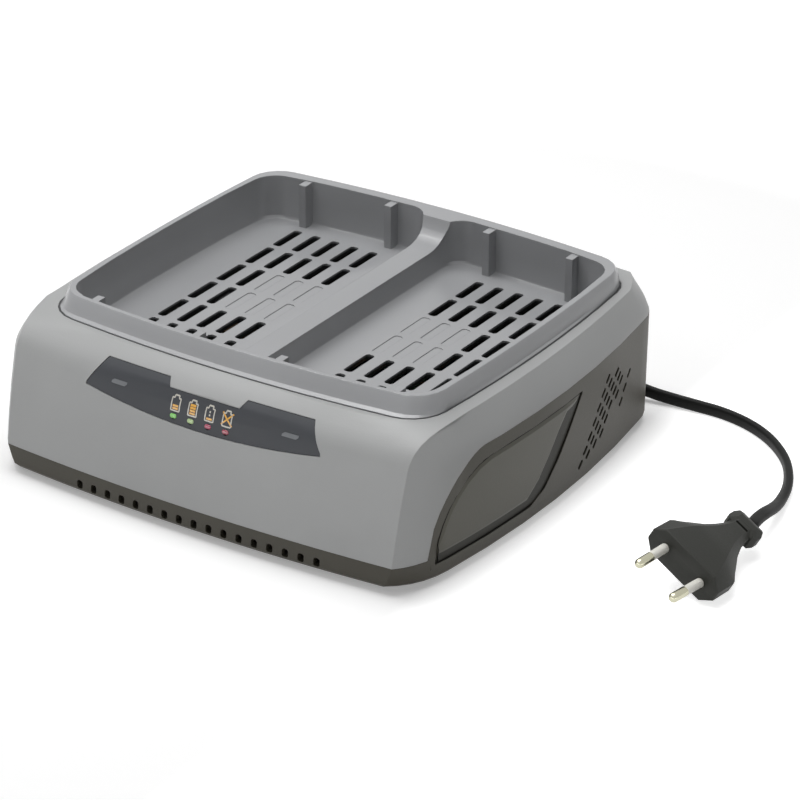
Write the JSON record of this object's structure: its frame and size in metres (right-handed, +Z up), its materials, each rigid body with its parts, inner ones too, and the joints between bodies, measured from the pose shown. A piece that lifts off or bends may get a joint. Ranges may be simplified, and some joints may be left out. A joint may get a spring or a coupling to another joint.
{
  "type": "power tool battery charger",
  "caption": "Two-bay tabletop charger for power tool batteries, with a low moulded housing, slotted battery bays, a status display, a cooling fan and a flat mains lead with a slim plug.",
  "frame": {"origin": "on the table, centred under the housing", "axes": "+Z up, -Y towards the front with the display, +X to the right seen from the front"},
  "size_m": [0.3086, 0.2059, 0.07],
  "materials": {
    "olive_shell": "fine texture",
    "grey_shell": "fine texture",
    "grey_tray": "satin",
    "black_rubber": "matt",
    "dark_display": "satin",
    "grey_lens": "gloss",
    "clear_guides": "gloss",
    "led_chips": "gloss",
    "circuit_board": "satin",
    "olive_panel": "satin",
    "black_nylon": "satin",
    "contact_brass": "satin",
    "core_iron": "laminated",
    "winding_tape": "satin",
    "capacitor_sleeve": "satin",
    "sink_aluminium": "extruded",
    "relay_case": "satin",
    "choke_winding": "satin",
    "fuse_ceramic": "matt",
    "fan_plastic": "satin",
    "cord_pvc": "satin",
    "plug_pvc": "matt",
    "sleeve_plastic": "satin",
    "nickel_pins": "polished nickel",
    "foot_rubber": "matt",
    "screw_steel": "zinc plated"
  },
  "bodies": {
    "housing": {"lower_housing": "olive_shell", "upper_housing": "grey_shell", "battery_tray": "grey_tray", "tray_gasket": "black_rubber", "display_panel": "dark_display", "indicator_windows": "grey_lens", "light_guides": "clear_guides", "status_leds": "led_chips", "led_board": "circuit_board", "side_panel_left": "olive_panel", "side_panel_right": "olive_panel", "terminal_block_left": "black_nylon", "terminal_block_right": "black_nylon", "contact_blades": "contact_brass", "main_board": "circuit_board", "transformer_core": "core_iron", "transformer_winding": "winding_tape", "bulk_capacitors": "capacitor_sleeve", "heat_sinks": "sink_aluminium", "output_relays": "relay_case", "filter_choke": "choke_winding", "mains_fuse": "fuse_ceramic", "fan_frame": "fan_plastic", "cord_clamp": "black_nylon", "cord_strain_relief": "cord_pvc", "mains_cord": "cord_pvc", "plug_body": "plug_pvc", "pin_sleeves": "sleeve_plastic", "plug_pins": "nickel_pins", "rubber_feet": "foot_rubber", "housing_screws": "screw_steel", "board_screws": "screw_steel"},
    "rotor": {"fan_rotor": "fan_plastic"}
  },
  "joints": [
    {"name": "fan_spin", "type": "hinge", "parent": "housing", "child": "rotor", "pos_m": [0.0887, 0.042, 0.0261], "axis": [1, 0, 0], "continuous": true}
  ]
}
